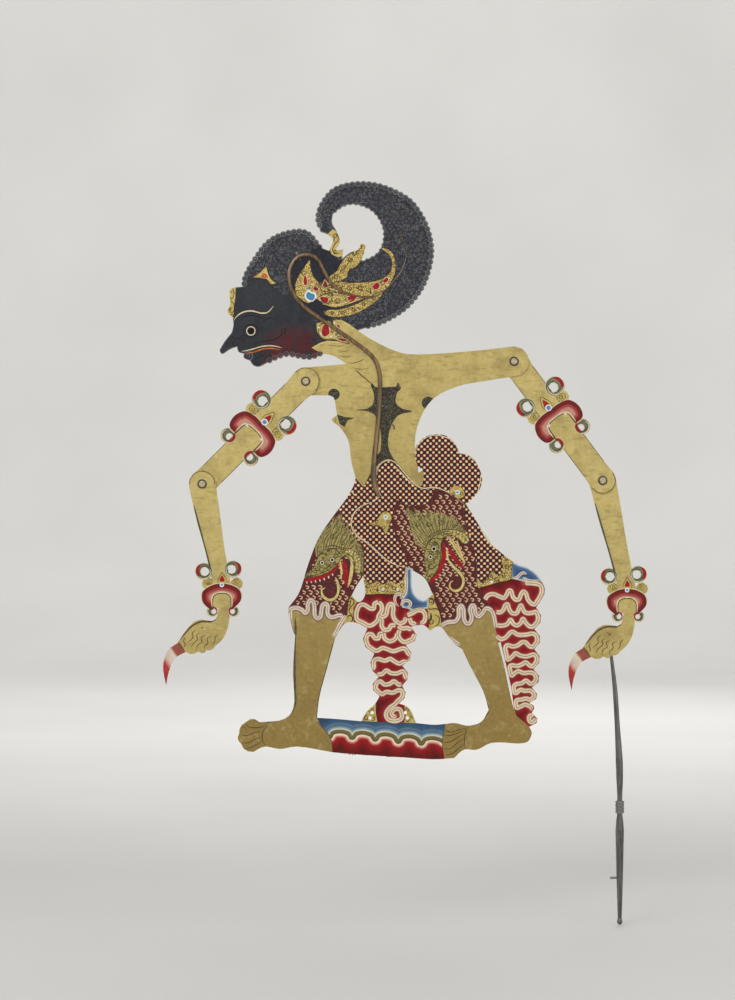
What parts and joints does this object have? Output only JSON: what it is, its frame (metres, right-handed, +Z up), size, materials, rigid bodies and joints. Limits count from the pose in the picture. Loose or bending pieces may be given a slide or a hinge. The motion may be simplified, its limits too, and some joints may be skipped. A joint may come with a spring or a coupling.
{
  "type": "shadow puppet",
  "caption": "Flat painted hide shadow puppet on a split horn rod, with arms riveted at shoulder and elbow and a hand rod tied to one hand.",
  "frame": {"origin": "middle of the flat foot of the rear main rod, level with the underside of the figure's base", "axes": "+Z up along the main rod towards the hair crest, +Y out of the back of the sheet, so the painted front faces -Y and the figure looks to -X"},
  "size_m": [0.5577, 0.0204, 0.8567],
  "materials": {
    "gilded_hide": "satin gilt and paint on rawhide",
    "amber_horn": "polished horn",
    "smoke_horn": "polished horn",
    "bone": "turned bone",
    "dark_horn": "satin",
    "thread": "waxed thread",
    "wire": "dull"
  },
  "bodies": {
    "figure": {"figure_sheet": "gilded_hide", "front_rod": "amber_horn", "rear_rod": "amber_horn", "rod_tie_1": "thread", "rod_tie_2": "thread", "rod_tie_3": "thread", "rod_tie_4": "thread", "left_shoulder_rivet": "bone", "left_shoulder_front_washer": "dark_horn", "left_shoulder_rear_washer": "dark_horn", "right_shoulder_rivet": "bone", "right_shoulder_front_washer": "dark_horn", "right_shoulder_rear_washer": "dark_horn"},
    "left_upper_arm": {"left_upper_arm": "gilded_hide", "left_elbow_rivet": "bone", "left_elbow_front_washer": "dark_horn", "left_elbow_rear_washer": "dark_horn"},
    "left_forearm": {"left_forearm": "gilded_hide"},
    "right_upper_arm": {"right_upper_arm": "gilded_hide", "right_elbow_rivet": "bone", "right_elbow_front_washer": "dark_horn", "right_elbow_rear_washer": "dark_horn"},
    "right_forearm": {"right_forearm": "gilded_hide", "hand_tie": "thread"},
    "hand_rod": {"hand_rod_shaft": "smoke_horn", "hand_rod_binding": "wire", "hand_rod_grip": "smoke_horn", "hand_rod_peg": "wire"}
  },
  "joints": [
    {"name": "left_shoulder_pivot", "type": "hinge", "parent": "figure", "child": "left_upper_arm", "pos_m": [-0.097, -0.00551, 0.432], "axis": [0, -1, 0], "range_deg": [-90, 48]},
    {"name": "left_elbow_pivot", "type": "hinge", "parent": "left_upper_arm", "child": "left_forearm", "pos_m": [-0.21578, -0.00751, 0.31404], "axis": [0, -1, 0], "range_deg": [-100, 40]},
    {"name": "right_shoulder_pivot", "type": "hinge", "parent": "figure", "child": "right_upper_arm", "pos_m": [0.1427, -0.00152, 0.455], "axis": [0, -1, 0], "range_deg": [-20, 100]},
    {"name": "right_elbow_pivot", "type": "hinge", "parent": "right_upper_arm", "child": "right_forearm", "pos_m": [0.24477, 0.00049, 0.31806], "axis": [0, -1, 0], "range_deg": [-20, 90]},
    {"name": "hand_rod_swivel", "type": "hinge", "parent": "right_forearm", "child": "hand_rod", "pos_m": [0.25311, 0.00049, 0.14083], "axis": [0, 1, 0], "range_deg": [-60, 45]}
  ]
}
